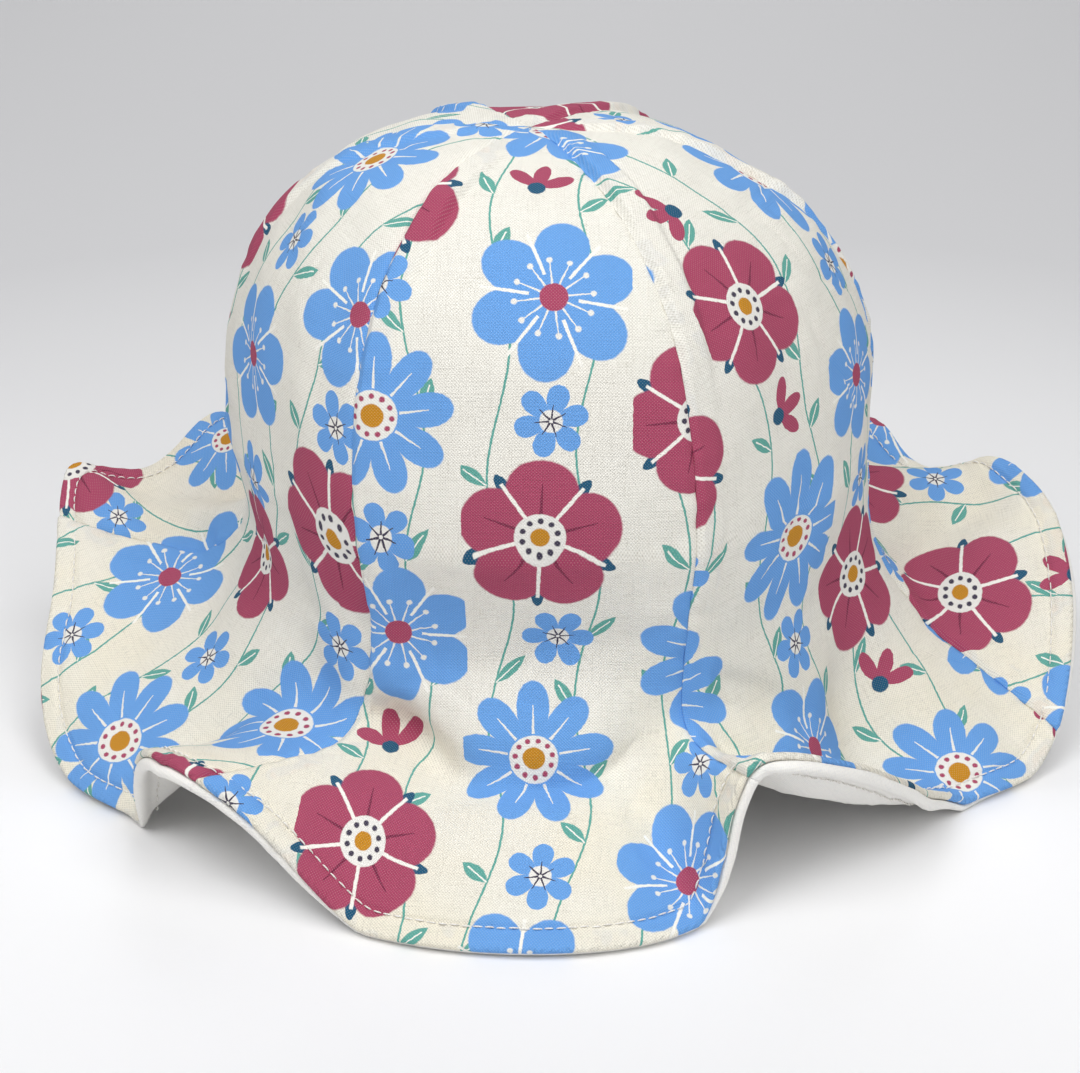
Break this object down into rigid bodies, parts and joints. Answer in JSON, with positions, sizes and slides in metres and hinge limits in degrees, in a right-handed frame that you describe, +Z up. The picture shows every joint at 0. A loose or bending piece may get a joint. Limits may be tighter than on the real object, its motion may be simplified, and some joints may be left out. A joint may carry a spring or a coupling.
{
  "type": "tulip hat",
  "caption": "Soft lined cotton sun hat whose petal-shaped panels are crown and wavy brim in one, standing on its brim.",
  "frame": {"origin": "on the surface that the hat stands on, under the middle of the outline of its brim", "axes": "+Z up through the crown, -Y towards the front panel, +X to the right of a viewer who faces the front"},
  "size_m": [0.2608, 0.2324, 0.157],
  "materials": {
    "printed_cotton": "matt plain-woven cotton with a small floral print in blue, raspberry and teal on cream",
    "white_cotton": "matt plain-woven white cotton"
  },
  "bodies": {
    "root": {"outer_petal_1": "printed_cotton", "outer_petal_2": "printed_cotton", "outer_petal_3": "printed_cotton", "outer_petal_4": "printed_cotton", "outer_petal_5": "printed_cotton", "outer_petal_6": "printed_cotton", "lining_petal_1": "white_cotton", "lining_petal_2": "white_cotton", "lining_petal_3": "white_cotton", "lining_petal_4": "white_cotton", "lining_petal_5": "white_cotton", "lining_petal_6": "white_cotton"}
  },
  "joints": []
}
